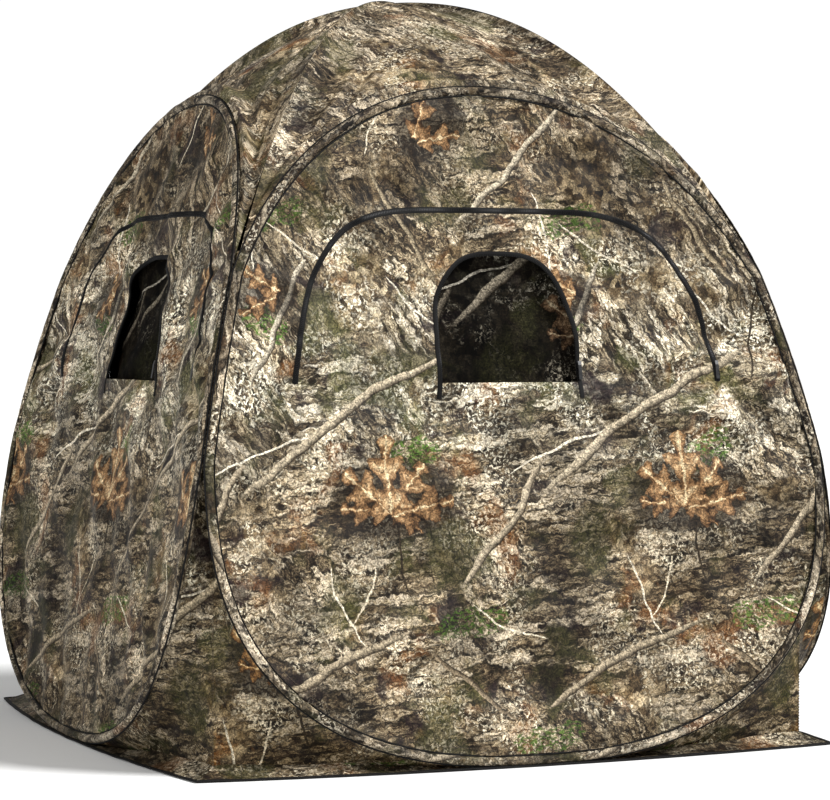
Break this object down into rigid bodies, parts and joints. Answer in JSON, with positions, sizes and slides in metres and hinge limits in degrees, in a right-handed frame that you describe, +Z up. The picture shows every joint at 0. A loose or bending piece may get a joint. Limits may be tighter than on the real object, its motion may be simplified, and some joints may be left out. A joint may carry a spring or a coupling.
{
  "type": "pop up ground blind",
  "caption": "Square domed camouflage ground blind on spring-steel hoops, with arched zipped window flaps, small mesh windows and a zipped door.",
  "frame": {"origin": "on the ground, under the middle of the cabin", "axes": "+Z up, front wall faces -Y, door wall faces +Y"},
  "size_m": [1.592, 1.592, 1.67],
  "materials": {
    "camo_cloth": "camouflage-printed polyester, PU coated inside, satin",
    "camo_roof": "camouflage-printed polyester, PU coated inside, satin",
    "black_tape": "black polyester zip tape, coil and binding",
    "dark_mesh": "dark camouflage-printed netting",
    "spring_steel": "blued flat spring wire",
    "zinc": "black painted zinc die casting"
  },
  "bodies": {
    "shell": {"front_spring_steel_hoop": "spring_steel", "front_hoop_ferrule": "zinc", "front_hoop_sleeve": "camo_cloth", "front_wall": "camo_cloth", "front_roof_gore": "camo_roof", "front_hem_skirt": "camo_cloth", "front_hem_binding": "black_tape", "front_flap_zipper": "black_tape", "right_spring_steel_hoop": "spring_steel", "right_hoop_ferrule": "zinc", "right_hoop_sleeve": "camo_cloth", "right_wall": "camo_cloth", "right_roof_gore": "camo_roof", "right_hem_skirt": "camo_cloth", "right_hem_binding": "black_tape", "right_flap_zipper": "black_tape", "back_spring_steel_hoop": "spring_steel", "back_hoop_ferrule": "zinc", "back_hoop_sleeve": "camo_cloth", "back_wall": "camo_cloth", "back_roof_gore": "camo_roof", "back_hem_skirt": "camo_cloth", "back_hem_binding": "black_tape", "back_door_zipper": "black_tape", "left_spring_steel_hoop": "spring_steel", "left_hoop_ferrule": "zinc", "left_hoop_sleeve": "camo_cloth", "left_wall": "camo_cloth", "left_roof_gore": "camo_roof", "left_hem_skirt": "camo_cloth", "left_hem_binding": "black_tape", "left_flap_zipper": "black_tape", "front_right_corner_gusset": "camo_cloth", "right_back_corner_gusset": "camo_cloth", "back_left_corner_gusset": "camo_cloth", "left_front_corner_gusset": "camo_cloth"},
    "front_flap_body": {"front_window_flap": "camo_cloth", "front_small_window_zipper": "black_tape", "front_window_mesh": "dark_mesh"},
    "front_cover_body": {"front_window_cover": "camo_cloth"},
    "front_flap_zip_slider_body": {"front_flap_zip_slider": "zinc"},
    "front_window_zip_slider_body": {"front_window_zip_slider": "zinc"},
    "right_flap_body": {"right_window_flap": "camo_cloth", "right_small_window_zipper": "black_tape", "right_window_mesh": "dark_mesh"},
    "right_cover_body": {"right_window_cover": "camo_cloth"},
    "right_flap_zip_slider_body": {"right_flap_zip_slider": "zinc"},
    "right_window_zip_slider_body": {"right_window_zip_slider": "zinc"},
    "back_door_body": {"back_door": "camo_cloth", "back_small_window_zipper": "black_tape", "back_window_mesh": "dark_mesh"},
    "back_cover_body": {"back_window_cover": "camo_cloth"},
    "back_door_zip_slider_body": {"back_door_zip_slider": "zinc"},
    "back_window_zip_slider_body": {"back_window_zip_slider": "zinc"},
    "left_flap_body": {"left_window_flap": "camo_cloth", "left_small_window_zipper": "black_tape", "left_window_mesh": "dark_mesh"},
    "left_cover_body": {"left_window_cover": "camo_cloth"},
    "left_flap_zip_slider_body": {"left_flap_zip_slider": "zinc"},
    "left_window_zip_slider_body": {"left_window_zip_slider": "zinc"}
  },
  "joints": [
    {"name": "front_flap_fold", "type": "hinge", "parent": "shell", "child": "front_flap_body", "pos_m": [0, -0.61221, 0.8], "axis": [-1, 0, 0], "range_deg": [0, 170]},
    {"name": "front_cover_fold", "type": "hinge", "parent": "shell", "child": "front_cover_body", "pos_m": [0, -0.61221, 0.8], "axis": [1, 0, 0], "range_deg": [0, 176]},
    {"name": "front_flap_zip_slider_travel", "type": "slide", "parent": "shell", "child": "front_flap_zip_slider_body", "axis": [0, 0.2181, 0.9759], "range_m": [0, 0.1]},
    {"name": "front_window_zip_slider_travel", "type": "slide", "parent": "front_flap_body", "child": "front_window_zip_slider_body", "axis": [0, 0.2161, 0.9764], "range_m": [0, 0.08]},
    {"name": "right_flap_fold", "type": "hinge", "parent": "shell", "child": "right_flap_body", "pos_m": [0.61221, 0, 0.8], "axis": [0, -1, 0], "range_deg": [0, 170]},
    {"name": "right_cover_fold", "type": "hinge", "parent": "shell", "child": "right_cover_body", "pos_m": [0.61221, 0, 0.8], "axis": [0, 1, 0], "range_deg": [0, 176]},
    {"name": "right_flap_zip_slider_travel", "type": "slide", "parent": "shell", "child": "right_flap_zip_slider_body", "axis": [-0.2181, 0, 0.9759], "range_m": [0, 0.1]},
    {"name": "right_window_zip_slider_travel", "type": "slide", "parent": "right_flap_body", "child": "right_window_zip_slider_body", "axis": [-0.2161, 0, 0.9764], "range_m": [0, 0.08]},
    {"name": "back_door_fold", "type": "hinge", "parent": "shell", "child": "back_door_body", "pos_m": [0, 0.78584, 0.1], "axis": [-1, 0, 0], "range_deg": [0, 100]},
    {"name": "back_cover_fold", "type": "hinge", "parent": "back_door_body", "child": "back_cover_body", "pos_m": [0, 0.61221, 0.8], "axis": [-1, 0, 0], "range_deg": [0, 176]},
    {"name": "back_door_zip_slider_travel", "type": "slide", "parent": "shell", "child": "back_door_zip_slider_body", "axis": [0, -0.1811, 0.9835], "range_m": [0, 0.06]},
    {"name": "back_window_zip_slider_travel", "type": "slide", "parent": "back_door_body", "child": "back_window_zip_slider_body", "axis": [0, -0.2161, 0.9764], "range_m": [0, 0.08]},
    {"name": "left_flap_fold", "type": "hinge", "parent": "shell", "child": "left_flap_body", "pos_m": [-0.61221, 0, 0.8], "axis": [0, 1, 0], "range_deg": [0, 170]},
    {"name": "left_cover_fold", "type": "hinge", "parent": "shell", "child": "left_cover_body", "pos_m": [-0.61221, 0, 0.8], "axis": [0, -1, 0], "range_deg": [0, 176]},
    {"name": "left_flap_zip_slider_travel", "type": "slide", "parent": "shell", "child": "left_flap_zip_slider_body", "axis": [0.2181, 0, 0.9759], "range_m": [0, 0.1]},
    {"name": "left_window_zip_slider_travel", "type": "slide", "parent": "left_flap_body", "child": "left_window_zip_slider_body", "axis": [0.2161, 0, 0.9764], "range_m": [0, 0.08]}
  ]
}
